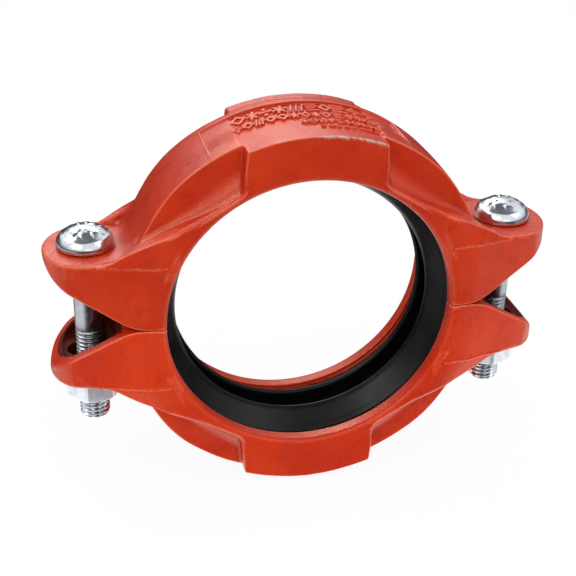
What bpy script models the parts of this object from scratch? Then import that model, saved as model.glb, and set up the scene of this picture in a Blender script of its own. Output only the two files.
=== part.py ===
"""Two-bolt rigid grooved pipe coupling for DN100 (4 in, 114.3 mm OD) grooved pipe.

Frame: origin at the centre of the pipe bore, +Y along the pipe axis, +X towards the
right bolt, +Z towards the upper housing. Metres, with the driving sizes in millimetres
times MM. The two housings are the same casting, turned half a turn about the pipe axis.
"""
import math

import bmesh
import bpy
from mathutils import Matrix, Vector

MM = 0.001

# ---- driving dimensions (millimetres) ----
PARTING_HALF_GAP = 0.15     # half the gap between the two housings
TOUCH_GAP = 0.3             # gap kept between pieces that bear on each other

KEY_R = 55.3                # inner radius of the keys that enter the pipe grooves
KEY_BEVEL = 1.0             # lead-in bevel on the outer edge of each key
KEY_INNER_Y = 18.2          # inner side of each key, from the middle plane
LEDGE_R = 56.8              # small ledge between a key and the gasket channel
LEDGE_Y = 16.2
CHANNEL_R = 68.8            # floor of the gasket channel
CHANNEL_Y = 13.0            # half width of the channel floor

HALF_WIDTH = 24.4           # half of the axial width, front face to middle plane
FLANGE_R = 61.2             # outline of the thin key flanges
FLANGE_TANGENT_DEG = 30.0   # where the flange outline leaves its circle for the ear
BAND_R = 74.2               # central band
BAND_Y = 15.6
BLOCK_R = 73.3              # crown block, full width
BLOCK_X_TOP = 25.6
BLOCK_X_FOOT = 26.8

PANEL_R = 72.9              # floor of the recessed marking panel
PANEL_Y_BACK = 12.0
PANEL_HALF_DEG = 30.5
MARK_R = 73.7               # top of the raised cast marks on the panel

BOLT_X = 82.4               # bolt axis from the middle
PAD_Z = 26.0                # bolt pad
WEB_TOP_Z = 26.2            # where the sloping webs run out on the pad
WEB_Y = 17.2                # inner side of the webs beside the pad
EAR_LINE_X = 60.0           # where the ear's side leaves the flange face
EAR_ARC_X = 84.5            # centre of the rounded ear tip
EAR_ARC_A = 14.7            # its length along X
EAR_ARC_B = 18.7            # its half width
EAR_WALL = 4.6              # thickness of the ear's wall
POCKET_X = 73.6             # inner end of the hollow under the pad
POCKET_Z = 17.8             # ceiling of that hollow
RIM = [(68.2, 0.0), (88.0, 12.7), (94.0, 16.7), (97.5, 20.6), (99.6, 24.6)]

HOLE_A = 9.3                # oval bolt hole, half length along X
HOLE_B = 6.5                # and half width

BOLT_R = 5.9                # M12 shank
NECK_A = 9.0                # oval neck under the head
NECK_B = 6.2
NECK_END_Z = 20.2
HEAD_R = 11.0
HEAD_TOP_Z = 34.4
BOLT_END_Z = -47.8
BOLT_CHAMFER = 1.1

NUT_AF = 19.0               # across flats
NUT_HEIGHT = 11.5
NUT_TOP_Z = -(PAD_Z + TOUCH_GAP)
NUT_BORE_R = 6.2
NUT_TURN_LEFT_DEG = -15.5   # one corner of the left nut, from -Y towards +X
NUT_TURN_RIGHT_DEG = -4.7

GASKET_R = 68.5

RING_STEPS = 96
GASKET_STEPS = 64
BOLT_STEPS = 28
ARC_STEPS = 8

PAINT = (0.56, 0.045, 0.012, 1.0)
ZINC = (0.62, 0.64, 0.66, 1.0)
RUBBER = (0.012, 0.012, 0.013, 1.0)


# ---- helpers ----
def clear():
    for ob in list(bpy.data.objects):
        bpy.data.objects.remove(ob, do_unlink=True)


def material(name, colour, roughness, metallic):
    mat = bpy.data.materials.new(name)
    mat.use_nodes = True
    bsdf = mat.node_tree.nodes["Principled BSDF"]
    bsdf.inputs["Base Color"].default_value = colour
    bsdf.inputs["Roughness"].default_value = roughness
    bsdf.inputs["Metallic"].default_value = metallic
    mat.diffuse_color = colour
    return mat


def finish_mesh(bm, name):
    bmesh.ops.recalc_face_normals(bm, faces=bm.faces[:])
    me = bpy.data.meshes.new(name)
    bm.to_mesh(me)
    bm.free()
    ob = bpy.data.objects.new(name, me)
    bpy.context.scene.collection.objects.link(ob)
    return ob


def polygon(bm, points):
    verts = [bm.verts.new(Vector(p) * MM) for p in points]
    return bm.faces.new(verts)


def prism(name, points, direction, length):
    """Closed prism: a flat outline of (x, y, z) points pushed along a direction."""
    bm = bmesh.new()
    face = polygon(bm, points)
    out = bmesh.ops.extrude_face_region(bm, geom=[face])
    moved = [g for g in out["geom"] if isinstance(g, bmesh.types.BMVert)]
    bmesh.ops.translate(bm, verts=moved, vec=Vector(direction) * length * MM)
    return finish_mesh(bm, name)


def turned(name, profile, steps, degrees=360.0, start=0.0, on_axis=False):
    """Solid turned about the pipe axis from (radius, y) points. The outline closes on
    itself, unless it starts and ends on the axis."""
    bm = bmesh.new()
    a = math.radians(start)
    rot = Matrix.Rotation(a, 4, "Y")
    verts = [bm.verts.new(rot @ (Vector((0.0, y, r)) * MM)) for r, y in profile]
    count = len(verts) - 1 if on_axis else len(verts)
    edges = [bm.edges.new((verts[i], verts[(i + 1) % len(verts)])) for i in range(count)]
    full = abs(degrees - 360.0) < 1e-6
    if full:
        bmesh.ops.spin(bm, geom=verts + edges, cent=(0, 0, 0), axis=(0, 1, 0),
                       angle=math.radians(degrees), steps=steps, use_merge=True)
    else:
        face = bm.faces.new(verts)
        bmesh.ops.spin(bm, geom=verts + edges + [face], cent=(0, 0, 0), axis=(0, 1, 0),
                       angle=math.radians(degrees), steps=steps)
    bmesh.ops.remove_doubles(bm, verts=bm.verts[:], dist=1e-7)
    bmesh.ops.dissolve_degenerate(bm, edges=bm.edges[:], dist=1e-7)
    return finish_mesh(bm, name)


def turned_z(name, profile, steps, centre=(0.0, 0.0)):
    """Solid turned about an upright axis from (radius, z) points that start and end on it."""
    bm = bmesh.new()
    verts = [bm.verts.new(Vector((r + centre[0], centre[1], z)) * MM) for r, z in profile]
    edges = [bm.edges.new((verts[i], verts[i + 1])) for i in range(len(verts) - 1)]
    bmesh.ops.spin(bm, geom=verts + edges, cent=Vector((centre[0], centre[1], 0)) * MM,
                   axis=(0, 0, 1), angle=2 * math.pi, steps=steps, use_merge=True)
    bmesh.ops.remove_doubles(bm, verts=bm.verts[:], dist=1e-7)
    bmesh.ops.dissolve_degenerate(bm, edges=bm.edges[:], dist=1e-7)
    return finish_mesh(bm, name)


def combine(target, other, operation):
    """Exact Boolean, applied, with the other solid removed."""
    mod = target.modifiers.new("b", "BOOLEAN")
    mod.operation = operation
    mod.solver = "EXACT"
    mod.object = other
    other.hide_render = True
    other.display_type = "WIRE"
    deps = bpy.context.evaluated_depsgraph_get()
    deps.update()
    new = bpy.data.meshes.new_from_object(target.evaluated_get(deps))
    target.modifiers.clear()
    old = target.data
    target.data = new
    bpy.data.meshes.remove(old)
    bpy.data.objects.remove(other, do_unlink=True)
    return target


def tidy(ob):
    """Welds stray points and merges flat faces, then triangulates."""
    bm = bmesh.new()
    bm.from_mesh(ob.data)
    bmesh.ops.remove_doubles(bm, verts=bm.verts[:], dist=2e-6)
    bmesh.ops.dissolve_degenerate(bm, edges=bm.edges[:], dist=2e-6)
    bmesh.ops.dissolve_limit(bm, angle_limit=math.radians(0.05), verts=bm.verts[:],
                             edges=bm.edges[:], delimit={"NORMAL"})
    bmesh.ops.triangulate(bm, faces=bm.faces[:])
    bmesh.ops.recalc_face_normals(bm, faces=bm.faces[:])
    bm.to_mesh(ob.data)
    bm.free()


def smooth(ob, angle=32.0):
    ob.data.shade_smooth()
    ob.data.set_sharp_from_angle(angle=math.radians(angle))


def set_origin(ob, point):
    """Moves the object's origin to a point in millimetres, leaving its shape in place."""
    p = Vector(point) * MM
    ob.data.transform(Matrix.Translation(-p))
    ob.location = p


# ---- housing ----
def ear_outline(offset, x_start, y_start):
    """Half of an ear's outline seen from above, from the ring to the tip."""
    a, b = EAR_ARC_A - offset, EAR_ARC_B - offset
    pts = [(x_start, y_start)]
    for i in range(ARC_STEPS + 1):
        t = math.pi / 2 * (1 - i / ARC_STEPS)
        pts.append((EAR_ARC_X + a * math.cos(t), b * math.sin(t)))
    return pts


def plan_outline():
    """Whole casting seen from above."""
    half = ear_outline(0.0, EAR_LINE_X, HALF_WIDTH)
    right = half + [(x, -y) for x, y in reversed(half[:-1])]
    left = [(-x, -y) for x, y in half] + [(-x, y) for x, y in reversed(half[:-1])]
    return right + left


def front_outline():
    """Flange, crown block and sloping webs seen along the pipe."""
    t = math.radians(FLANGE_TANGENT_DEG)
    tangent = Vector((FLANGE_R * math.sin(t), FLANGE_R * math.cos(t)))
    down = Vector((math.cos(t), -math.sin(t)))
    reach = (tangent.y - WEB_TOP_Z) / -down.y
    corner = tangent + down * reach
    right = [(106.0, -3.0), (106.0, WEB_TOP_Z), (corner.x, corner.y)]
    foot = math.asin(BLOCK_X_FOOT / FLANGE_R)
    steps = 2
    for i in range(steps + 1):
        a = t + (foot - t) * i / steps
        right.append((FLANGE_R * math.sin(a), FLANGE_R * math.cos(a)))
    top = math.asin(BLOCK_X_TOP / BLOCK_R)
    n = 6
    arc = []
    for i in range(n + 1):
        a = top * (1 - i / n)
        arc.append((BLOCK_R * math.sin(a), BLOCK_R * math.cos(a)))
    right += arc
    return right + [(-x, z) for x, z in reversed(right[:-1])]


def cast_marks():
    """Raised bars and dots in two rows on the panel, in place of any lettering."""
    bm = bmesh.new()
    rows = [(3.6, 5.2, [(-23.0, 5.0), (-15.5, 2.6), (-9.5, 4.4), (-2.0, 5.6), (6.0, 2.6), (13.0, 5.2), (21.0, 4.0)]),
            (-5.2, 3.6, [(-18.0, 6.4), (-8.0, 3.0), (1.0, 7.0), (11.0, 3.4), (18.5, 5.4)])]
    for y, depth, marks in rows:
        for deg, width in marks:
            cube = bmesh.ops.create_cube(bm, size=1.0)["verts"]
            low, high = PANEL_R - 1.2, MARK_R
            bmesh.ops.scale(bm, vec=Vector((width, depth, high - low)) * MM, verts=cube)
            bmesh.ops.translate(bm, vec=Vector((0, y, (high + low) / 2)) * MM, verts=cube)
            bmesh.ops.rotate(bm, cent=(0, 0, 0), verts=cube,
                             matrix=Matrix.Rotation(math.radians(deg), 3, "Y"))
    return finish_mesh(bm, "marks")


def build_housing(name):
    body = prism(name, [(x, y, -6.0) for x, y in plan_outline()], (0, 0, 1), 90.0)
    front = prism("front", [(x, -32.0, z) for x, z in front_outline()], (0, 1, 0), 64.0)
    combine(body, front, "INTERSECT")

    # pad recess between the front and back webs of each ear
    for s in (1, -1):
        recess = [(s * 42.0, -WEB_Y, PAD_Z), (s * 108.0, -WEB_Y, PAD_Z),
                  (s * 108.0, -WEB_Y, 75.0), (s * 42.0, -WEB_Y, 75.0)]
        combine(body, prism("recess", recess, (0, 1, 0), 2 * WEB_Y), "DIFFERENCE")

    # central band with its scooped shoulders
    shoulder = [(60.2, 22.7), (61.9, 20.9), (64.2, 19.4), (67.4, 18.2), (70.8, 17.2), (73.2, 16.5)]
    profile = ([(50.0, -22.7)] + [(r, -y) for r, y in shoulder] + [(BAND_R, -BAND_Y), (BAND_R, BAND_Y)]
               + [(r, y) for r, y in reversed(shoulder)] + [(50.0, 22.7)])
    step = 360.0 / RING_STEPS
    count = RING_STEPS // 2 + 3
    combine(body, turned("band", profile, count, degrees=count * step, start=-count * step / 2), "UNION")

    # marking panel, open at the front edge
    panel = [(PANEL_R, -40.0), (PANEL_R, PANEL_Y_BACK), (82.0, PANEL_Y_BACK + 1.6), (82.0, -40.0)]
    combine(body, turned("panel", panel, 16, degrees=2 * PANEL_HALF_DEG, start=-PANEL_HALF_DEG), "DIFFERENCE")
    combine(body, cast_marks(), "UNION")

    # bore, keys, ledges and gasket channel
    far = 31.0
    half = [(KEY_R + far - (HALF_WIDTH - KEY_BEVEL), far), (KEY_R, HALF_WIDTH - KEY_BEVEL), (KEY_R, KEY_INNER_Y),
            (LEDGE_R, KEY_INNER_Y), (LEDGE_R, LEDGE_Y), (CHANNEL_R, CHANNEL_Y)]
    inner = [(0.0, far)] + half + [(r, -y) for r, y in reversed(half)] + [(0.0, -far)]
    combine(body, turned("inner", inner, RING_STEPS, start=step / 2, on_axis=True), "DIFFERENCE")

    # hollow under each pad, and its oval bolt hole
    for s in (1, -1):
        wall_y = HALF_WIDTH + (POCKET_X - EAR_LINE_X) * (EAR_ARC_B - HALF_WIDTH) / (EAR_ARC_X - EAR_LINE_X) - EAR_WALL
        half = ear_outline(EAR_WALL, POCKET_X, wall_y)
        outline = half + [(x, -y) for x, y in reversed(half[:-1])]
        combine(body, prism("hollow", [(s * x, y, -5.0) for x, y in outline], (0, 0, 1), POCKET_Z + 5.0), "DIFFERENCE")
        n = 24
        oval = [(s * BOLT_X + HOLE_A * math.cos(2 * math.pi * i / n), HOLE_B * math.sin(2 * math.pi * i / n), 8.0)
                for i in range(n)]
        combine(body, prism("hole", oval, (0, 0, 1), 30.0), "DIFFERENCE")

    # parting faces near the ring, and the sloping rim of each ear
    rim = [(x, z + PARTING_HALF_GAP) for x, z in RIM] + [(112.0, RIM[-1][1] + PARTING_HALF_GAP), (112.0, -12.0)]
    below = rim + [(-x, z) for x, z in reversed(rim)]
    combine(body, prism("below", [(x, -34.0, z) for x, z in below], (0, 1, 0), 68.0), "DIFFERENCE")
    tidy(body)
    return body


# ---- gasket ----
def build_gasket():
    half = [(GASKET_R, 11.7), (67.4, 12.7), (59.2, 15.0), (57.3, 15.1), (56.1, 14.3), (55.6, 13.2),
            (54.95, 2.4), (55.3, 1.5), (58.4, 1.6), (58.9, 3.0), (59.2, 10.3), (60.4, 11.0),
            (63.4, 10.3), (64.9, 8.6)]
    profile = half + [(r, -y) for r, y in reversed(half)]
    return turned("gasket", profile, GASKET_STEPS)


# ---- bolt and nut ----
def build_bolt(name, s):
    """Oval-neck track bolt: rings of equal count, bridged one to the next."""
    n = BOLT_STEPS
    base = PAD_Z + TOUCH_GAP
    rings = [(BOLT_R - BOLT_CHAMFER, BOLT_R - BOLT_CHAMFER, BOLT_END_Z),
             (BOLT_R, BOLT_R, BOLT_END_Z + BOLT_CHAMFER),
             (BOLT_R, BOLT_R, NECK_END_Z - 1.6),
             (NECK_A, NECK_B, NECK_END_Z),
             (NECK_A, NECK_B, base),
             (HEAD_R - 0.3, HEAD_R - 0.3, base),
             (HEAD_R, HEAD_R, base + 0.5),
             (HEAD_R, HEAD_R, base + 1.3)]
    rise = HEAD_TOP_Z - base - 1.3
    for i in range(1, 6):
        t = math.pi / 2 * i / 6
        r = HEAD_R * math.cos(t) ** 0.9
        rings.append((r, r, base + 1.3 + rise * math.sin(t)))
    bm = bmesh.new()
    loops = []
    for a, b, z in rings:
        verts = [bm.verts.new(Vector((s * BOLT_X + a * math.cos(2 * math.pi * i / n),
                                      b * math.sin(2 * math.pi * i / n), z)) * MM) for i in range(n)]
        loops.append(verts)
    edge_loops = []
    for verts in loops:
        edge_loops.append([bm.edges.new((verts[i], verts[(i + 1) % n])) for i in range(n)])
    for low, high in zip(edge_loops[:-1], edge_loops[1:]):
        bmesh.ops.bridge_loops(bm, edges=low + high)
    bm.faces.new(loops[0])
    apex = bm.verts.new(Vector((s * BOLT_X, 0, HEAD_TOP_Z)) * MM)
    for i in range(n):
        bm.faces.new((loops[-1][i], loops[-1][(i + 1) % n], apex))
    ob = finish_mesh(bm, name)
    set_origin(ob, (s * BOLT_X, 0, base))
    return ob


def build_nut(name, s, turn):
    """Hex nut with both ends chamfered and a countersunk bore."""
    corner = NUT_AF / 2 / math.cos(math.pi / 6)
    top, low = NUT_TOP_Z, NUT_TOP_Z - NUT_HEIGHT
    outline = []
    for i in range(6):
        a = math.radians(turn) + i * math.pi / 3
        outline.append((s * BOLT_X + corner * math.sin(a), -corner * math.cos(a), low - 3.0))
    ob = prism(name, outline, (0, 0, 1), NUT_HEIGHT + 6.0)
    face_r = 0.95 * NUT_AF / 2
    slope = math.tan(math.radians(30))
    out_r = 14.0
    dz = (out_r - face_r) * slope
    shell = [(0.0, low), (face_r, low), (out_r, low + dz), (out_r, top - dz), (face_r, top), (0.0, top)]
    combine(ob, turned_z("shell", shell, 36, (s * BOLT_X, 0.0)), "INTERSECT")
    sink = 0.8
    bore = [(0.0, low - 2.0), (NUT_BORE_R + sink + 2.0, low - 2.0), (NUT_BORE_R, low + sink),
            (NUT_BORE_R, top - sink), (NUT_BORE_R + sink + 2.0, top + 2.0), (0.0, top + 2.0)]
    combine(ob, turned_z("bore", bore, BOLT_STEPS, (s * BOLT_X, 0.0)), "DIFFERENCE")
    tidy(ob)
    set_origin(ob, (s * BOLT_X, 0, top))
    return ob


def main():
    clear()
    paint = material("paint", PAINT, 0.42, 0.0)
    zinc = material("zinc", ZINC, 0.3, 1.0)
    rubber = material("rubber", RUBBER, 0.5, 0.0)

    upper = build_housing("upper_housing")
    lower_mesh = upper.data.copy()
    lower_mesh.name = "lower_housing"
    lower_mesh.transform(Matrix.Rotation(math.pi, 4, "Y"))
    lower = bpy.data.objects.new("lower_housing", lower_mesh)
    bpy.context.scene.collection.objects.link(lower)
    gasket = build_gasket()
    bolts = [build_bolt("bolt_left", -1), build_bolt("bolt_right", 1)]
    nuts = [build_nut("nut_left", -1, NUT_TURN_LEFT_DEG), build_nut("nut_right", 1, NUT_TURN_RIGHT_DEG)]

    for ob, mat in [(upper, paint), (lower, paint), (gasket, rubber)] + [(b, zinc) for b in bolts + nuts]:
        ob.data.materials.clear()
        own = mat.copy()
        own.name = ob.name + "_" + mat.name
        ob.data.materials.append(own)
        smooth(ob)
    for mat in (paint, zinc, rubber):
        bpy.data.materials.remove(mat)


main()
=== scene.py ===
import math

import bmesh
import bpy
import numpy as np
from mathutils import Matrix, Vector


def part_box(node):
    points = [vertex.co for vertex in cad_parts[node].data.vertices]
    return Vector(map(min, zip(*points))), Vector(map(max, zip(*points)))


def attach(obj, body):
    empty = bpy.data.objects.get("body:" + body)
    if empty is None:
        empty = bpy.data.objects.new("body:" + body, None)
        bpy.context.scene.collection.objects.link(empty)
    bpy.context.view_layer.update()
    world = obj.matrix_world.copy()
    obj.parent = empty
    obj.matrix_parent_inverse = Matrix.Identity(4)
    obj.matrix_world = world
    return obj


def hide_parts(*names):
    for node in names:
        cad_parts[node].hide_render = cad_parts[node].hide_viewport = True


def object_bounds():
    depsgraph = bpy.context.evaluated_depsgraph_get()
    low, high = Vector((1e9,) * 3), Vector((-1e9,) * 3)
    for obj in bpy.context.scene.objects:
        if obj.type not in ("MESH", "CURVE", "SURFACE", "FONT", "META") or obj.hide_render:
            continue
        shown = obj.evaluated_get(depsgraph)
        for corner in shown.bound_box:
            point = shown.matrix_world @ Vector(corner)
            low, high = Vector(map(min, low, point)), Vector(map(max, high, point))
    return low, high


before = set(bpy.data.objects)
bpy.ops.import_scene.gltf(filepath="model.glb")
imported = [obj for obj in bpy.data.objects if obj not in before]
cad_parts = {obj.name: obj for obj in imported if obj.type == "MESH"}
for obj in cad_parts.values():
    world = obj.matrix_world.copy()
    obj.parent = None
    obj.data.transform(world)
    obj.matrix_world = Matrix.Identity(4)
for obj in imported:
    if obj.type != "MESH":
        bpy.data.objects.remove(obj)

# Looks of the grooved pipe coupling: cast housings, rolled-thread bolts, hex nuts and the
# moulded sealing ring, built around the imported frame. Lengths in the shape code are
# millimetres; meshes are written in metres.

CAD_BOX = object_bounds()
MM = 0.001
F32 = np.float32

# ---------------------------------------------------------------- sizes, from the frame
up_lo, up_hi = [np.array(v) * 1000.0 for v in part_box("upper_housing")]
TIP_X = float(up_hi[0])                    # ear tip
HALF_Y = float(up_hi[1])                   # half width of the casting
TOP_Z = float(up_hi[2])                    # crown of the band
bl_lo, bl_hi = [np.array(v) * 1000.0 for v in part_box("bolt_left")]
br_lo, br_hi = [np.array(v) * 1000.0 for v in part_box("bolt_right")]
BOLT_X = float((br_lo[0] + br_hi[0]) / 2)
HEAD_R = float((br_hi[0] - br_lo[0]) / 2)
HEAD_TOP = float(br_hi[2])
BOLT_END = float(br_lo[2])
nl_lo, nl_hi = [np.array(v) * 1000.0 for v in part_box("nut_left")]
NUT_TOP, NUT_LOW = float(nl_hi[2]), float(nl_lo[2])
ga_lo, ga_hi = [np.array(v) * 1000.0 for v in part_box("gasket")]
GASKET_R = float(ga_hi[0])

KEY_R = 55.3
PAD_Z = 26.0
BAND_R = 74.0
PITCH = 1.75


# ---------------------------------------------------------------- distance field tools
def rmax(a, b, r):
    """Intersection of two fields with a rounded edge of radius r."""
    u = np.maximum(a + r, 0)
    v = np.maximum(b + r, 0)
    return np.minimum(-r, np.maximum(a, b)) + np.sqrt(u * u + v * v)


def rmin(a, b, r):
    """Union of two fields with a round fillet of radius r."""
    return -rmax(-a, -b, r)


def bezier(p0, p1, p2, n=10):
    t = np.linspace(0, 1, n + 1)[:, None]
    p0, p1, p2 = (np.array(p, float) for p in (p0, p1, p2))
    return (1 - t) ** 2 * p0 + 2 * t * (1 - t) * p1 + t * t * p2


class Outline:
    """Signed distance to a closed outline in a plane, read from a fine grid."""

    def __init__(self, points, low, high, step=0.3):
        pts = np.array(points, float)
        self.low, self.step = np.array(low, float), step
        nx = int(math.ceil((high[0] - low[0]) / step)) + 2
        ny = int(math.ceil((high[1] - low[1]) / step)) + 2
        gx = low[0] + step * np.arange(nx)
        gy = low[1] + step * np.arange(ny)
        px, py = np.meshgrid(gx, gy, indexing="ij")
        best = np.full(px.shape, 1e9)
        inside = np.zeros(px.shape, bool)
        for i in range(len(pts)):
            a, b = pts[i], pts[(i + 1) % len(pts)]
            d = b - a
            if d @ d < 1e-12:
                continue
            t = np.clip(((px - a[0]) * d[0] + (py - a[1]) * d[1]) / (d @ d), 0, 1)
            best = np.minimum(best, (px - a[0] - t * d[0]) ** 2 + (py - a[1] - t * d[1]) ** 2)
            cross = (a[1] > py) != (b[1] > py)
            with np.errstate(divide="ignore", invalid="ignore"):
                at = a[0] + (py - a[1]) * d[0] / (d[1] if abs(d[1]) > 1e-12 else 1e-12)
            inside ^= cross & (px < at)
        self.grid = (np.sqrt(best) * np.where(inside, -1, 1)).astype(F32)

    def __call__(self, x, y):
        g = self.grid
        u = np.clip((x - self.low[0]) / self.step, 0, g.shape[0] - 1.001)
        v = np.clip((y - self.low[1]) / self.step, 0, g.shape[1] - 1.001)
        i, j = u.astype(np.int32), v.astype(np.int32)
        u, v = (u - i).astype(F32), (v - j).astype(F32)
        return (g[i, j] * (1 - u) * (1 - v) + g[i + 1, j] * u * (1 - v)
                + g[i, j + 1] * (1 - u) * v + g[i + 1, j + 1] * u * v)


def step01(x, a, b):
    t = np.clip((x - a) / (b - a), 0, 1)
    return t * t * (3 - 2 * t)


# ---------------------------------------------------------------- casting outlines
def plan_points():
    """Quarter outline from above: flat face, sweep to the ear, rounded tip."""
    pts = [(-20.0, HALF_Y), (53.0, HALF_Y)]
    pts += list(bezier((53.0, HALF_Y), (60.5, HALF_Y), (67.0, 22.75), 10)[1:])
    pts += [(72.0, 21.6), (79.0, 19.97)]
    a, b, cx = TIP_X - 84.5, 18.7, 84.5
    arc = [(cx + a * math.sin(t), b * math.cos(t)) for t in np.linspace(0.0, math.pi / 2, 26)]
    pts += list(bezier((79.0, 19.97), (90.2, 17.35), arc[8], 12)[1:])
    pts += arc[9:]
    pts += [(x, -y) for x, y in reversed(pts[:-1])]
    return pts


def band_points():
    """Half section of the band: crown, rounded shoulder, drafted side wall."""
    return [(30.0, -30.0), (74.2, -30.0), (74.2, 16.7), (73.95, 17.0), (73.5, 17.12), (66.0, 17.6),
            (58.0, 18.1), (40.0, 18.6), (30.0, 18.6)]


def rim_points():
    """Ear rim and parting face seen along the pipe: the casting is above this line."""
    pts = [(-10.0, 0.15), (62.0, 0.15)]
    pts += list(bezier((62.0, 0.15), (67.6, 0.15), (73.0, 3.2), 8)[1:])
    pts += [(80.0, 7.5), (88.0, 12.3)]
    pts += list(bezier((88.0, 12.3), (94.0, 15.9), (97.0, 19.8), 6)[1:])
    pts += list(bezier((97.0, 19.8), (98.9, 22.4), (99.9, 26.4), 6)[1:])
    pts += [(106.0, 60.0), (106.0, 100.0), (-10.0, 100.0)]
    return pts


def inner_points():
    """Half section of the space inside: bore between the keys, ledges, gasket channel."""
    pts = [(0.0, 40.0), (KEY_R + 20.0, 40.0), (60.4, 25.2), (59.4, HALF_Y + 0.12), (58.2, HALF_Y - 0.16)]
    pts += list(bezier((57.2, HALF_Y - 0.30), (55.5, 23.9), (KEY_R, 22.2), 7))
    pts += [(KEY_R, 18.2), (56.8, 18.0), (56.8, 16.2), (68.8, 13.0), (68.8, -30.0), (0.0, -30.0)]
    return pts


plan = Outline(plan_points(), (-2, -2), (106, 34))
band = Outline(band_points(), (38, -3), (106, 34))
rim = Outline(rim_points(), (-2, -8), (104, 60))
inner = Outline(inner_points(), (38, -3), (106, 34))

# raised foundry pattern on the recessed panel: bars, rings and studs, in three rows and a line of short bars
MARKS = []


def capsule(x0, y0, x1, y1, r):
    MARKS.append(("c", x0, y0, x1, y1, r))


def ring(x0, y0, rad, r):
    MARKS.append(("r", x0, y0, rad, 0.0, r))


def lay_out_marks():
    """Places generic bold strokes along the arc; s is the arc length from the crown."""
    rng = np.random.RandomState(23)

    def row(start, stop, y_low, y_high, w, gap):
        s, k = start, 0
        mid = (y_low + y_high) / 2
        while s < stop:
            kind = rng.randint(0, 7)
            wide = (y_high - y_low) * (0.55 + 0.2 * rng.rand())
            lean = 0.5 * (rng.rand() - 0.5)
            if kind == 0:                                   # stacked chevrons
                for j in (0.0, 0.5):
                    y0 = y_low + j * (y_high - y_low)
                    capsule(s, y0, s + wide / 2, y0 + 0.36 * (y_high - y_low), w)
                    capsule(s + wide / 2, y0 + 0.36 * (y_high - y_low), s + wide, y0, w)
            elif kind == 1:                                 # ring round a stud
                ring(s + wide / 2, mid, (y_high - y_low) / 2 - 0.2, w)
                capsule(s + wide / 2, mid, s + wide / 2, mid + 0.1, w)
            elif kind == 2:                                 # slanted bars
                for j in range(3):
                    capsule(s + 0.42 * j * wide, y_low, s + (0.42 * j + 0.3) * wide, y_high, w * 0.9)
                s += 0.15 * wide
            elif kind == 3:                                 # diamond
                capsule(s, mid, s + wide / 2, y_high, w)
                capsule(s + wide / 2, y_high, s + wide, mid, w)
                capsule(s + wide, mid, s + wide / 2, y_low, w)
                capsule(s + wide / 2, y_low, s, mid, w)
            elif kind == 4:                                 # bars across with a broken rail
                for j in (0.0, 0.33, 0.66, 1.0):
                    capsule(s, y_low + j * (y_high - y_low), s + wide * (1.0 - 0.3 * (j == 0.33)), y_low + j * (y_high - y_low) + lean, w * 0.8)
            elif kind == 5:                                 # star of three bars
                for t in (0.2, 1.25, 2.3):
                    dx, dy = 0.5 * wide * math.cos(t), 0.5 * (y_high - y_low) * math.sin(t)
                    capsule(s + wide / 2 - dx, mid - dy, s + wide / 2 + dx, mid + dy, w)
            else:                                           # bar between two studs
                capsule(s, mid, s + wide, mid + lean, w)
                ring(s + wide / 2, y_high - 0.7 * w, 0.3, w)
                ring(s + wide / 2, y_low + 0.7 * w, 0.3, w)
            s += wide + gap + 0.6 * rng.rand()
            k += 1

    row(-26.5, 25.5, 2.6, 9.4, 0.66, 0.75)
    row(-27.5, 27.5, -4.6, 0.2, 0.54, 0.7)
    row(-3.0, 25.5, -10.6, -7.4, 0.44, 0.8)
    for i in range(9):
        at = 3.0 + 2.9 * i
        capsule(at, -14.6 + 0.5 * rng.rand(), at + 1.2 + rng.rand(), -14.4 + 0.5 * rng.rand(), 0.36)


lay_out_marks()


def marks_grid():
    low, high, step = (-36.0, -22.0), (36.0, 12.0), 0.2
    gx = np.arange(low[0], high[0], step)
    gy = np.arange(low[1], high[1], step)
    px, py = np.meshgrid(gx, gy, indexing="ij")
    best = np.full(px.shape, 9.0)
    for kind, x0, y0, x1, y1, r in MARKS:
        if kind == "r":
            d = np.abs(np.hypot(px - x0, py - y0) - x1) - r
        else:
            dx, dy = x1 - x0, y1 - y0
            t = np.clip(((px - x0) * dx + (py - y0) * dy) / max(dx * dx + dy * dy, 1e-9), 0, 1)
            d = np.hypot(px - x0 - t * dx, py - y0 - t * dy) - r
        best = np.minimum(best, d)
    out = Outline.__new__(Outline)
    out.low, out.step, out.grid = np.array(low), step, best.astype(F32)
    return out


marks = marks_grid()

WAVES = []
_rng = np.random.RandomState(7)
for _amp, _len in [(0.042, 27.0), (0.022, 16.0), (0.010, 9.0)]:
    for _ in range(3):
        _d = _rng.normal(size=3)
        _d /= np.linalg.norm(_d)
        WAVES.append((_amp, _d * 2 * math.pi / (_len * (0.8 + 0.4 * _rng.rand())), _rng.rand() * 6.28))


def unevenness(x, y, z, shift):
    """The slight waviness of a sand-cast, painted surface."""
    n = np.zeros_like(x)
    for amp, k, ph in WAVES:
        n += amp * np.sin(k[0] * x + k[1] * y + k[2] * z + ph + shift)
    return n


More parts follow.
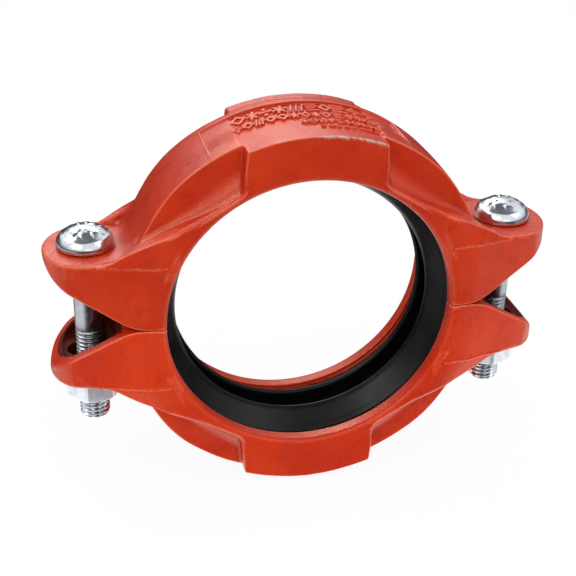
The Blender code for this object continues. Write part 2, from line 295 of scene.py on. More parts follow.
def housing(x, y, z):
    """Distance field of the casting with its crown up."""
    x, y, z = (np.asarray(v, F32) for v in (x, y, z))
    ax, ay = np.abs(x), np.abs(y)
    r = np.sqrt(x * x + z * z)
    # casting draft on the ears: slightly narrower towards the pad
    pl = plan(ax, ay) + 0.014 * np.maximum(z, 0) * step01(ax, 60, 78)

    # flange outline: circle, then the straight run down to the pad
    straight = 0.5 * ax + 0.8660254 * z
    sag = 61.0 - 1.3 * (1 - step01(ax, 38, 60)) - 0.2 * (1 - step01(ax, 58, 72)) * np.clip(ay - 18.0, 0, 7)
    f = np.where(ax < 0.57735 * z, r, straight) - sag
    # inner side of the web above the ear, leaning down into the pad
    web_in = (17.3 - ay) + 0.45 * np.clip(z - 26.0, 0.0, 9.0) * step01(r, 73, 79) - 6.0 * (1 - step01(r, 69, 74))
    web = rmax(f, web_in * 0.92, 1.6)
    # the crown falls away towards its edges, more so near the ears
    theta = np.arctan2(ax, np.maximum(z, 1e-3))
    drop = 0.15 + 1.75 * step01(theta, 0.70, 1.12) + 0.55 * (ay / 17.0) ** 3
    bd = band(r + np.minimum(drop, 4.0) * step01(r, 62, 69.5), ay)
    pad = z - PAD_Z
    bp = rmin(bd, pad, 4.0)
    hollow = 1.5 + 5.2 * (1 - step01(theta, 0.42, 1.02))
    body = rmin(web, bp, hollow.astype(F32))

    bx = 25.4 + 0.085 * (73.3 - z)
    block = rmax(rmax(ax - bx, r - 73.3, 1.1), 56.5 - r, 0.5)
    body = rmin(body, block, 1.5)

    # outer edges, softer on the flange, crisp on the block and the web crest
    edge = 1.7 - 0.95 * step01(ax, 46, 62) + 0.55 * step01(ax, 80, 86)
    on_block = (1 - step01(ax, 26.5, 30)) * step01(r, 62, 66)
    edge = edge * (1 - on_block) + 0.7 * on_block
    body = rmax(body, pl, edge.astype(F32))

    # leaning facet of the web above the ear
    lean = 0.17 * step01(ax, 52, 64) * (1 - step01(ax, 84, 90))
    facet = pl + lean * (z - 25.6)
    body = np.where((z > 20) & (ax > 50), rmax(body, facet.astype(F32), 0.3), body)
    # thin flash line along the facet's foot
    line_z = 25.2 + 0.14 * np.sin(0.55 * x) + 0.08 * np.sin(1.7 * x)
    flash = np.sqrt((z - line_z) ** 2 + (pl + 0.30) ** 2) - 0.46
    flash = np.maximum(flash, np.maximum(54.5 - ax, ax - 80.0))
    body = np.where((z > 22) & (z < 29) & (ax > 52), rmin(body, flash.astype(F32), 0.35), body)

    # recessed marking panel: a clear step at the back, running out to the front edge
    half = math.radians(30.5)
    ang = np.arctan2(x, np.maximum(z, 1e-3))
    arc = np.abs(ang) * 73.0
    side = step01(arc, 25.0, 28.5)
    floor_r = 72.75 + side * (0.35 + 0.75 * step01(-y, -4.0, 12.0))
    sides = np.maximum(arc - half * 73.0, y - 12.2)
    body = rmax(body, -rmax(sides, (floor_r - r).astype(F32), 0.4), 0.3)
    crown = BAND_R - np.minimum(drop, 4.0)
    bead = np.sqrt((arc - half * 73.0 - 0.35) ** 2 + (r - crown + 0.24) ** 2) - 0.42
    bead = rmax(bead, y - 12.0, 0.3)
    m = marks(ang * 72.8, y)
    raised = rmax(m.astype(F32), r - 73.75, 0.22)
    raised = rmax(raised, 71.0 - r, 0.2)
    near = (ang > -half) & (ang < half) & (r > 69) & (z > 0)
    body = np.where(near, rmin(body, raised, 0.25), body)
    body = np.where((r > 69) & (z > 0) & (ay < 24), rmin(body, rmax(bead, ay - 15.2, 0.3), 0.3), body)

    # inside
    inn = inner(r, ay)
    body = rmax(body, -inn, 0.35)

    # hollow under each pad and its oval hole
    pocket = rmax(rmax(plan(ax, ay) + 4.7, 73.4 - ax, 4.0), z - 17.8, 2.5)
    body = rmax(body, -pocket, 0.75)
    hx, hy = (ax - BOLT_X), y
    k0 = np.sqrt((hx / 9.3) ** 2 + (hy / 6.5) ** 2)
    k1 = np.sqrt((hx / 86.49) ** 2 + (hy / 42.25) ** 2) + 1e-6
    body = rmax(body, -(k0 * (k0 - 1) / k1), 0.5)

    # parting face and ear rim
    rm = rim(ax, z)
    body = rmax(body, rm, (0.5 + 0.45 * step01(ax, 66, 78)).astype(F32))
    return body


# ---------------------------------------------------------------- surface extraction
def surface_net(field, low, high, h):
    """Quad surface of field = 0 on a grid of step h: one point a cell, drawn to the
    crossings on the cell's edges."""
    n = [int(math.ceil((high[i] - low[i]) / h)) + 1 for i in range(3)]
    gx, gy, gz = (low[i] + h * np.arange(n[i], dtype=F32) for i in range(3))
    vol = np.empty(n, F32)
    # coarse pass: blocks far from the surface take one value
    bs = 8
    cx, cy, cz = (np.arange(0, n[i], bs) for i in range(3))
    centres = [low[i] + h * (c + bs / 2) for i, c in enumerate((cx, cy, cz))]
    mx, my, mz = np.meshgrid(*[np.asarray(c, F32) for c in centres], indexing="ij")
    coarse = field(mx.ravel(), my.ravel(), mz.ravel()).reshape(mx.shape)
    reach = h * bs * 0.9 * 1.25 + 1.5
    todo = []
    for i, a in enumerate(cx):
        for j, b in enumerate(cy):
            for k, c in enumerate(cz):
                if abs(coarse[i, j, k]) > reach:
                    vol[a:a + bs, b:b + bs, c:c + bs] = coarse[i, j, k]
                else:
                    todo.append((a, b, c))
    group = 400
    for s in range(0, len(todo), group):
        part = todo[s:s + group]
        px, py, pz, shapes = [], [], [], []
        for a, b, c in part:
            q = np.meshgrid(gx[a:a + bs], gy[b:b + bs], gz[c:c + bs], indexing="ij")
            shapes.append(q[0].shape)
            px.append(q[0].ravel()); py.append(q[1].ravel()); pz.append(q[2].ravel())
        val = field(np.concatenate(px), np.concatenate(py), np.concatenate(pz))
        at = 0
        for (a, b, c), sh in zip(part, shapes):
            m = sh[0] * sh[1] * sh[2]
            vol[a:a + sh[0], b:b + sh[1], c:c + sh[2]] = val[at:at + m].reshape(sh)
            at += m

    neg = vol < 0
    corner = np.zeros([v - 1 for v in n], np.uint8)
    for dx in (0, 1):
        for dy in (0, 1):
            for dz in (0, 1):
                corner += neg[dx:n[0] - 1 + dx, dy:n[1] - 1 + dy, dz:n[2] - 1 + dz]
    live = (corner > 0) & (corner < 8)
    idx = np.full(live.shape, -1, np.int64)
    ci, cj, ck = np.nonzero(live)
    idx[ci, cj, ck] = np.arange(len(ci))
    total = np.zeros((len(ci), 3))
    count = np.zeros(len(ci))
    for axis in range(3):
        others = [a for a in range(3) if a != axis]
        for da in (0, 1):
            for db in (0, 1):
                off = [0, 0, 0]
                off[others[0]], off[others[1]] = da, db
                p = (ci + off[0], cj + off[1], ck + off[2])
                q = list(p)
                q[axis] = q[axis] + 1
                v0, v1 = vol[p], vol[tuple(q)]
                hit = (v0 < 0) != (v1 < 0)
                t = np.where(hit, v0 / np.where(hit, v0 - v1, 1), 0)
                pos = [np.full(len(ci), float(off[0])), np.full(len(ci), float(off[1])), np.full(len(ci), float(off[2]))]
                pos[axis] = t
                for a in range(3):
                    total[:, a] += np.where(hit, pos[a], 0)
                count += hit
    local = total / count[:, None]
    verts = np.stack([low[0] + h * (ci + local[:, 0]), low[1] + h * (cj + local[:, 1]),
                      low[2] + h * (ck + local[:, 2])], 1)
    quads = []
    for axis in range(3):
        u, w = [(1, 2), (2, 0), (0, 1)][axis]
        sl0 = [slice(None)] * 3
        sl1 = [slice(None)] * 3
        sl0[axis], sl1[axis] = slice(0, n[axis] - 1), slice(1, n[axis])
        a, b = neg[tuple(sl0)], neg[tuple(sl1)]
        edge = a != b
        ei = list(np.nonzero(edge))
        keep = (ei[u] > 0) & (ei[w] > 0) & (ei[u] < n[u] - 1) & (ei[w] < n[w] - 1)
        ei = [e[keep] for e in ei]
        inside_first = a[tuple(ei)]
        corners = []
        for du, dw in ((-1, -1), (0, -1), (0, 0), (-1, 0)):
            c = [e.copy() for e in ei]
            c[u] += du
            c[w] += dw
            corners.append(idx[tuple(c)])
        q = np.stack(corners, 1)
        q = np.where(inside_first[:, None], q, q[:, ::-1])
        quads.append(q)
    return verts, np.concatenate(quads)


def gradient(field, p, e=0.05):
    g = np.stack([field(p[:, 0] + e * (i == 0), p[:, 1] + e * (i == 1), p[:, 2] + e * (i == 2))
                  - field(p[:, 0] - e * (i == 0), p[:, 1] - e * (i == 1), p[:, 2] - e * (i == 2))
                  for i in range(3)], 1) / (2 * e)
    return g


def settle(field, p, rounds=2, cap=0.5):
    """Moves points onto field = 0 along its gradient."""
    for _ in range(rounds):
        v = field(p[:, 0], p[:, 1], p[:, 2])
        g = gradient(field, p)
        n2 = np.maximum((g * g).sum(1), 0.05)
        d = -(v / n2)[:, None] * g
        size = np.linalg.norm(d, axis=1, keepdims=True)
        p = p + d * np.minimum(1, cap / np.maximum(size, 1e-9))
    return p


def mesh_object(name, verts_mm, faces):
    me = bpy.data.meshes.new(name)
    me.from_pydata((np.asarray(verts_mm) * MM).tolist(), [], [list(map(int, f)) for f in faces])
    me.update()
    ob = bpy.data.objects.new(name, me)
    bpy.context.scene.collection.objects.link(ob)
    return ob


def fast_mesh(name, verts_mm, quads):
    me = bpy.data.meshes.new(name)
    n, m = len(verts_mm), len(quads)
    me.vertices.add(n)
    me.vertices.foreach_set("co", (np.asarray(verts_mm) * MM).astype(F32).ravel())
    me.loops.add(4 * m)
    me.loops.foreach_set("vertex_index", quads.astype(np.int32).ravel())
    me.polygons.add(m)
    me.polygons.foreach_set("loop_start", np.arange(0, 4 * m, 4, dtype=np.int32))
    me.update(calc_edges=True)
    me.validate()
    ob = bpy.data.objects.new(name, me)
    bpy.context.scene.collection.objects.link(ob)
    return ob


def apply_all(ob):
    deps = bpy.context.evaluated_depsgraph_get()
    new = bpy.data.meshes.new_from_object(ob.evaluated_get(deps))
    ob.modifiers.clear()
    old = ob.data
    ob.data = new
    bpy.data.meshes.remove(old)


def coords(me):
    co = np.zeros(len(me.vertices) * 3, F32)
    me.vertices.foreach_get("co", co)
    return co.reshape(-1, 3).astype(float)


def point_attribute(me, name, values):
    at = me.attributes.new(name, "FLOAT", "POINT")
    at.data.foreach_set("value", np.asarray(values, F32))


def curvature(field, p, e):
    """Mean curvature seen at scale e: positive on outer edges, negative in hollows."""
    c = field(p[:, 0], p[:, 1], p[:, 2])
    s = np.zeros(len(p))
    for i in range(3):
        for sgn in (1, -1):
            q = p.copy()
            q[:, i] += sgn * e
            s += field(q[:, 0], q[:, 1], q[:, 2]) - c
    return s / (e * e)


def base_casting():
    """Casting surface shared by both halves, before each gets its own unevenness."""
    h = 0.45
    low = (-TIP_X - 2.2, -HALF_Y - 2.1, -2.0)
    high = (TIP_X + 2.2, HALF_Y + 2.1, TOP_Z + 2.4)
    verts, quads = surface_net(housing, low, high, h)
    verts = settle(housing, verts, 2, cap=0.5 * h)
    # a trace of grain keeps points on the flat faces when the mesh is thinned
    g = gradient(housing, verts, 0.2)
    g /= np.maximum(np.linalg.norm(g, axis=1, keepdims=True), 1e-6)
    q = verts * (2 * math.pi / 3.1)
    verts = verts + g * (0.035 * (np.sin(q[:, 0]) * np.sin(q[:, 2] + 0.7) + np.sin(q[:, 1] * 1.1) * np.cos(q[:, 0] * 0.9)))[:, None]
    ob = fast_mesh("base_casting", verts, quads)
    tris, limit = 2 * len(quads), 186000
    if tris > limit:
        dec = ob.modifiers.new("lighten", "DECIMATE")
        dec.ratio = limit / tris
        apply_all(ob)
    return ob.data, ob


def build_housing(name, node, base, shift, flip):
    def field(x, y, z):
        key = step01(np.sqrt(x * x + z * z), 57.0, 60.0)
        return housing(x, y, z) + (unevenness(x, y, z, shift) * key + 0.05).astype(F32)

    me = base.copy()
    me.name = name
    ob = bpy.data.objects.new(name, me)
    bpy.context.scene.collection.objects.link(ob)
    p = coords(me) * 1000.0
    p = settle(field, p, 2, cap=0.12)
    p[:, 0] = np.clip(p[:, 0], -TIP_X, TIP_X)
    p[:, 1] = np.clip(p[:, 1], -HALF_Y, HALF_Y)
    p[:, 2] = np.minimum(p[:, 2], TOP_Z)
    g = gradient(field, p, 0.10)
    g /= np.maximum(np.linalg.norm(g, axis=1, keepdims=True), 1e-6)
    edge = curvature(housing, p, 0.7)
    # concave curvature, used to paint shade into the hollows
    hollow = np.clip(-curvature(housing, p, 2.5) * 2.5, 0, 1)
    ax = np.abs(p[:, 0])
    # pockets under the ears and the inner channel faces, painted near black as shade
    pocket_shade = ((ax > 71.5) & (plan(ax, np.abs(p[:, 1])) < -3.6) & (p[:, 2] < 25.6)).astype(float)
    r = np.hypot(p[:, 0], p[:, 2])
    inside = ((np.abs(inner(r, np.abs(p[:, 1]))) < 0.5) & (np.abs(p[:, 1]) < 17.3)).astype(float)
    if flip:
        p[:, 0] *= -1; p[:, 2] *= -1
        g[:, 0] *= -1; g[:, 2] *= -1
    me.vertices.foreach_set("co", (p * MM).astype(F32).ravel())
    point_attribute(me, "edge", np.clip(edge * 0.9, 0, 1))
    point_attribute(me, "hollow", hollow)
    point_attribute(me, "pocket_shade", np.maximum(pocket_shade, inside))
    # painted shade: the land of one key darkened to near black, and the scuffed front edge of the block, on this half
    # only
    shaded_land = np.zeros(len(p))
    worn = np.zeros(len(p))
    if not flip:
        shaded_land = ((r < 57.4) & (p[:, 1] > 16.0) & (p[:, 0] > -20)).astype(float)
        near = np.hypot(np.hypot(p[:, 0], p[:, 2]) - 73.1, p[:, 1] + 24.2)
        worn = np.clip(1.6 - near / 0.8, 0, 1) * step01(p[:, 0], -2, 3) * (1 - step01(p[:, 0], 24, 26))
    point_attribute(me, "shaded_land", shaded_land)
    point_attribute(me, "worn", worn)
    me.shade_smooth()
    me.normals_split_custom_set_from_vertices(g.tolist())
    me.update()
    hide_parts(node)
    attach(ob, node)
    return ob


# ---------------------------------------------------------------- turned and threaded pieces
def lathe(name, profile, steps, axis="z", centre=(0.0, 0.0)):
    """Closed solid of revolution from a closed profile of (radius, height)."""
    prof = np.array(profile, float)
    n = len(prof)
    a = np.linspace(0, 2 * math.pi, steps, endpoint=False)
    verts = np.zeros((steps, n, 3))
    if axis == "z":
        verts[:, :, 0] = centre[0] + prof[None, :, 0] * np.cos(a)[:, None]
        verts[:, :, 1] = centre[1] + prof[None, :, 0] * np.sin(a)[:, None]
        verts[:, :, 2] = prof[None, :, 1]
    else:
        verts[:, :, 0] = prof[None, :, 0] * np.sin(a)[:, None]
        verts[:, :, 1] = prof[None, :, 1]
        verts[:, :, 2] = prof[None, :, 0] * np.cos(a)[:, None]
    v = verts.reshape(-1, 3)
    i = np.arange(steps)[:, None] * n
    j = ((np.arange(steps) + 1) % steps)[:, None] * n
    k = np.arange(n)[None, :]
    k1 = ((np.arange(n) + 1) % n)[None, :]
    q = np.stack([(i + k).ravel(), (i + k1).ravel(), (j + k1).ravel(), (j + k).ravel()], 1)
    return v, q


def rounded(profile, radii, n=4):
    """Rounds the corners of a closed profile."""
    pts = [np.array(p, float) for p in profile]
    out = []
    m = len(pts)
    for i in range(m):
        r = radii[i] if hasattr(radii, "__len__") else radii
        p, a, b = pts[i], pts[i - 1], pts[(i + 1) % m]
        if r <= 0:
            out.append(tuple(p))
            continue
        da, db = a - p, b - p
        la, lb = np.linalg.norm(da), np.linalg.norm(db)
        t = min(r, 0.45 * la, 0.45 * lb)
        for q in bezier(p + da / la * t, p, p + db / lb * t, n):
            out.append(tuple(q))
    return out


def build_gasket():
    half = [(GASKET_R, 11.6), (67.4, 12.6), (63.0, 13.85), (59.2, 14.9), (58.2, 15.0), (57.2, 14.5),
            (56.2, 13.4), (55.5, 12.5), (51.3, 8.0), (50.3, 6.4), (50.35, 5.6), (51.4, 4.9),
            (57.0, 9.7), (59.0, 10.5), (60.4, 10.9), (63.2, 10.3), (64.9, 8.6)]
    radii = [0.7, 0.5, 0.3, 0.8, 0.5, 0.3, 0.3, 1.6, 0.5, 1.2, 0.6, 0.4, 0.6, 0.4, 0.5, 0.8, 0.5]
    prof = half + [(r, -y) for r, y in reversed(half)]
    prof = rounded(prof, radii + radii[::-1], 3)
    v, q = lathe("gasket", prof, 288, axis="y")
    # faint hand-fitted waviness of soft rubber
    a = np.arctan2(v[:, 0], v[:, 2])
    lip = np.clip((60.0 - np.hypot(v[:, 0], v[:, 2])) / 4.0, 0, 1)
    out = 1 + lip * (0.0009 * (1 + np.sin(3 * a + 1.0)) + 0.0004 * (1 + np.sin(7 * a)))
    v[:, 0] *= out
    v[:, 2] *= out
    ob = fast_mesh("sealing_ring", v, q)
    fix_normals(ob)
    ob.data.shade_smooth()
    ob.data.set_sharp_from_angle(angle=math.radians(50))
    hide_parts("gasket")
    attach(ob, "gasket")
    return ob


def fix_normals(ob):
    bm = bmesh.new()
    bm.from_mesh(ob.data)
    bmesh.ops.recalc_face_normals(bm, faces=bm.faces[:])
    bm.to_mesh(ob.data)
    bm.free()


def thread_depth(z, a, start, end, runout):
    """How far the flank lies below the crest for a right-hand thread of 1.75 mm pitch."""
    t = (z - a / (2 * math.pi) * PITCH) / PITCH
    t = t - np.floor(t)
    tri = 1 - np.abs(2 * t - 1)                      # 0 at the crest, 1 in the root
    shape = np.clip((tri - 0.16) / 0.68, 0, 1)
    fade = np.clip((end - z) / runout, 0, 1) * np.clip((z - start) / 0.9 + 0.25, 0, 1)
    return shape * fade


def build_bolt(name, node, s, turn):
    n = 96
    base = PAD_Z + 0.3
    thread_end = -7.0                                 # plain shank above this height
    zs = []
    z = BOLT_END
    while z < thread_end + 1.0:
        zs.append(z)
        z += PITCH / 12
    rings = []
    for z in zs:
        rings.append(("shank", z))
    for z in np.linspace(thread_end + 1.3, 18.6, 10):
        rings.append(("shank", z))
    a = np.linspace(0, 2 * math.pi, n, endpoint=False)
    loops = []
    chamfer = 1.3
    for kind, z in rings:
        crest = 5.86
        depth = 0.86 * thread_depth(z, a, BOLT_END, thread_end, 2.2)
        lead = max(0.0, chamfer - (z - BOLT_END))
        rr = np.minimum(crest - depth, 5.9 - lead * 0.95 + 0 * a)
        if z > thread_end:
            rr = np.minimum(rr, 5.86)
        loops.append(np.stack([rr * np.cos(a), rr * np.sin(a), np.full(n, z)], 1))
    # oval neck, then the underside and the dome of the head
    def oval(ra, rb, z):
        loops.append(np.stack([ra * np.cos(a), rb * np.sin(a), np.full(n, z)], 1))
    oval(6.0, 5.87, 18.9)
    oval(7.6, 6.02, 19.5)
    oval(8.6, 6.12, 20.0)
    oval(8.95, 6.18, 20.6)
    oval(9.0, 6.2, 21.4)
    oval(9.0, 6.2, base - 0.02)
    R = HEAD_R
    for r_, z_ in ((R - 1.0, base), (R - 0.35, base + 0.02), (R - 0.1, base + 0.18), (R - 0.02, base + 0.45), (R, base + 0.8), (R - 0.06, base + 1.35)):
        oval(r_, r_, z_)
    rise = HEAD_TOP - base - 1.35
    steps = 40
    dome = []
    for i in range(1, steps + 1):
        t = math.pi / 2 * i / steps
        share = math.cos(t)
        rr = (R - 0.06) * share
        zz = base + 1.35 + rise * (0.62 * (1 - share * share) + 0.38 * math.sqrt(1 - share ** 6))
        dome.append((max(rr, 0.0), zz))
    for rr, zz in dome[:-1]:
        oval(rr, rr, zz)
    pts = np.concatenate(loops)
    # raised generic ticks on the dome: two arcs of short bars, and a shallow centre dimple
    hr = np.hypot(pts[:, 0], pts[:, 1])
    ha = np.arctan2(pts[:, 1], pts[:, 0]) - turn
    on = (pts[:, 2] > base + 1.5)
    bump = np.zeros(len(pts))
    rng = np.random.RandomState(3)
    for ring_r, half_len, count, width in ((6.4, 1.15, 12, 0.55), (3.5, 0.9, 7, 0.5)):
        for i in range(count):
            if ring_r > 5 and i in (2, 8):
                continue
            ca = 2 * math.pi * i / count + 0.12 * rng.rand()
            x0, y0 = ring_r * math.cos(ca), ring_r * math.sin(ca)
            tilt = ca + (0.5 if i % 2 else -0.35) + 0.3 * rng.rand()
            dx, dy = math.cos(tilt), math.sin(tilt)
            px = hr * np.cos(ha) - x0
            py = hr * np.sin(ha) - y0
            along = np.abs(px * dx + py * dy) - half_len * (0.75 + 0.5 * rng.rand())
            across = np.abs(-px * dy + py * dx) - width * 0.5
            d = np.maximum(along, across)
            bump = np.maximum(bump, np.clip(0.5 - d / 0.45, 0, 1))
    inward = 0.30 * (1 - bump) * np.clip((9.2 - hr) / 0.8, 0, 1) * on
    pts[:, 2] -= inward
    # forging unevenness of the head
    wob = (0.05 * np.sin(0.9 * pts[:, 0] + 1.3 * pts[:, 1]) + 0.04 * np.sin(1.7 * pts[:, 1] - 0.6 * pts[:, 0] + 2)) * on
    pts[:, 2] -= 0.06 * on + wob * np.clip((HEAD_R - hr) / 2, 0, 1) * 0.6
    pts[:, 0] += s * BOLT_X
    m = len(loops)
    faces = []
    i = np.arange(n)
    j = (i + 1) % n
    for k in range(m - 1):
        faces.append(np.stack([k * n + i, k * n + j, (k + 1) * n + j, (k + 1) * n + i], 1))
    quads = np.concatenate(faces)
    top = np.array([[s * BOLT_X, 0.0, HEAD_TOP - 0.30 - 0.06]])
    # flat end with a shallow dish, in rings
    end_rings = [(0.75, 0.10), (0.45, 0.35), (0.2, 0.4)]
    base_r = np.hypot(loops[0][:, 0], loops[0][:, 1])
    extra = []
    for share, lift in end_rings:
        extra.append(np.stack([base_r * share * np.cos(a) + s * BOLT_X, base_r * share * np.sin(a), np.full(n, BOLT_END + lift)], 1))
    low_pt = np.array([[s * BOLT_X, 0.0, BOLT_END + 0.42]])
    pts = np.concatenate([pts] + extra + [top, low_pt])
    off = m * n
    prev = 0
    more = []
    for e in range(len(extra)):
        cur = off + e * n
        more.append(np.stack([prev + j, prev + i, cur + i, cur + j], 1))
        prev = cur
    quads = np.concatenate([quads] + more)
    ti, li = len(pts) - 2, len(pts) - 1
    tris = [[(m - 1) * n + int(a_), (m - 1) * n + int(b_), ti] for a_, b_ in zip(i, j)]
    tris += [[prev + int(b_), prev + int(a_), li] for a_, b_ in zip(i, j)]
    me_faces = quads.tolist() + tris
    ob = mesh_object(name, pts, me_faces)
    fix_normals(ob)
    # painted shade: the shank is darkened, most of all in the thread's roots, and its plating is duller
    rr = np.hypot(pts[:, 0] - s * BOLT_X, pts[:, 1])
    shank_shade = np.clip(0.45 + (5.86 - rr) * 0.9, 0.3, 1.0) * (pts[:, 2] < base - 0.5)
    shank_shade = np.where(pts[:, 2] < thread_end + 0.6, np.clip(shank_shade + 0.45, 0, 1), shank_shade)
    shank_shade = np.where(pts[:, 2] < -PAD_Z, np.clip((5.6 - rr) * 0.9, 0, 0.8), shank_shade)
    point_attribute(ob.data, "shank", shank_shade)
    ob.data.shade_smooth()
    ob.data.set_sharp_from_angle(angle=math.radians(38))
    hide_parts(node)
    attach(ob, node)
    return ob


def build_nut(name, node, s, turn_deg):
    """Hex nut as a grid in angle and height: flats cut by the chamfer cones, with a
    threaded bore whose thread matches the bolt's."""
    n = 240
    af = 9.5
    a = np.linspace(0, 2 * math.pi, n, endpoint=False)
    t0 = math.radians(turn_deg)
    # angle measured so that a corner points along turn from -Y towards +X
    rel = (a - (t0 - math.pi / 2)) % (math.pi / 3) - math.pi / 6
    hexr = af / np.cos(rel)
    corner = af / math.cos(math.pi / 6)
    soft = 0.45
    hexr = np.where(hexr > corner - soft, corner - soft + (hexr - corner + soft) * 0.45, hexr)
    low, top = NUT_LOW, NUT_TOP
    face_r = 9.05
    slope = math.tan(math.radians(30))
    heights = np.concatenate([np.linspace(low, low + 1.6, 9), np.linspace(low + 2.2, top - 2.2, 8), np.linspace(top - 1.6, top, 9)])
    loops = []

    def add(r_, z_):
        rr = r_ if hasattr(r_, "__len__") else np.full(n, r_)
        zz = z_ if hasattr(z_, "__len__") else np.full(n, z_)
        loops.append(np.stack([rr * np.cos(a) + s * BOLT_X, rr * np.sin(a), zz], 1))

    for z in heights:
        cone = face_r + min(z - low, top - z) / slope
        k = 0.35
        m = np.minimum(hexr, cone)
        hh = np.maximum(k - np.abs(hexr - cone), 0) / k
        add(m - hh * hh * k * 0.25, z)
    add(face_r - 0.35, top + 0.0)
    add(7.2, top - 0.02)
    add(6.75, top - 0.05)
    crest_r = 6.12
    zs = np.arange(top - 0.55, low + 0.5, -PITCH / 10)
    for z in zs:
        add(crest_r + 0.55 * (1 - thread_depth(z, a, low - 9, top + 9, 1.0)), z)
    add(6.75, low + 0.05)
    add(7.2, low + 0.02)
    add(face_r - 0.35, low + 0.0)
    pts = np.concatenate(loops)
    m = len(loops)
    i = np.arange(n)
    j = (i + 1) % n
    faces = []
    for k in range(m):
        k1 = (k + 1) % m
        faces.append(np.stack([k * n + i, k * n + j, k1 * n + j, k1 * n + i], 1))
    ob = fast_mesh(name, pts, np.concatenate(faces))
    fix_normals(ob)
    ob.data.shade_smooth()
    ob.data.set_sharp_from_angle(angle=math.radians(28))
    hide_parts(node)
    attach(ob, node)
    return ob


# ---------------------------------------------------------------- materials
class Nodes:
    def __init__(self, name):
        self.mat = bpy.data.materials.new(name)
        self.mat.use_nodes = True
        self.tree = self.mat.node_tree
        self.bsdf = self.tree.nodes["Principled BSDF"]
        self.x = -300

    def add(self, kind, **values):
        node = self.tree.nodes.new(kind)
        node.location = (self.x, 0)
        self.x -= 40
        for key, value in values.items():
            if key in node.inputs.keys():
                node.inputs[key].default_value = value
            else:
                setattr(node, key, value)
        return node

    def link(self, a, b):
        self.tree.links.new(a, b)

    def noise(self, vector, scale, detail=4.0, rough=0.55, distortion=0.0):
        node = self.add("ShaderNodeTexNoise", Scale=scale, Detail=detail, Roughness=rough, Distortion=distortion)
        self.link(vector, node.inputs["Vector"])
        return node.outputs["Fac"]

    def span(self, value, a, b, c=0.0, d=1.0, smooth=True):
        node = self.add("ShaderNodeMapRange")
        node.interpolation_type = "SMOOTHSTEP" if smooth else "LINEAR"
        node.inputs["From Min"].default_value = a
        node.inputs["From Max"].default_value = b
        node.inputs["To Min"].default_value = c
        node.inputs["To Max"].default_value = d
        self.link(value, node.inputs["Value"])
        return node.outputs["Result"]

    def math(self, op, a, b=None):
        node = self.add("ShaderNodeMath", operation=op)
        for i, v in enumerate((a, b)):
            if v is None:
                continue
            if isinstance(v, (int, float)):
                node.inputs[i].default_value = v
            else:
                self.link(v, node.inputs[i])
        return node.outputs[0]

    def mix(self, fac, a, b):
        node = self.add("ShaderNodeMix")
        node.data_type = "RGBA"
        if isinstance(fac, (int, float)):
            node.inputs[0].default_value = fac
        else:
            self.link(fac, node.inputs[0])
        for i, v in ((6, a), (7, b)):
            if isinstance(v, tuple):
                node.inputs[i].default_value = v
            else:
                self.link(v, node.inputs[i])
        return node.outputs[2]

    def bump(self, height, strength, distance, normal=None):
        node = self.add("ShaderNodeBump", Strength=strength, Distance=distance)
        self.link(height, node.inputs["Height"])
        if normal is not None:
            self.link(normal, node.inputs["Normal"])
        return node.outputs["Normal"]


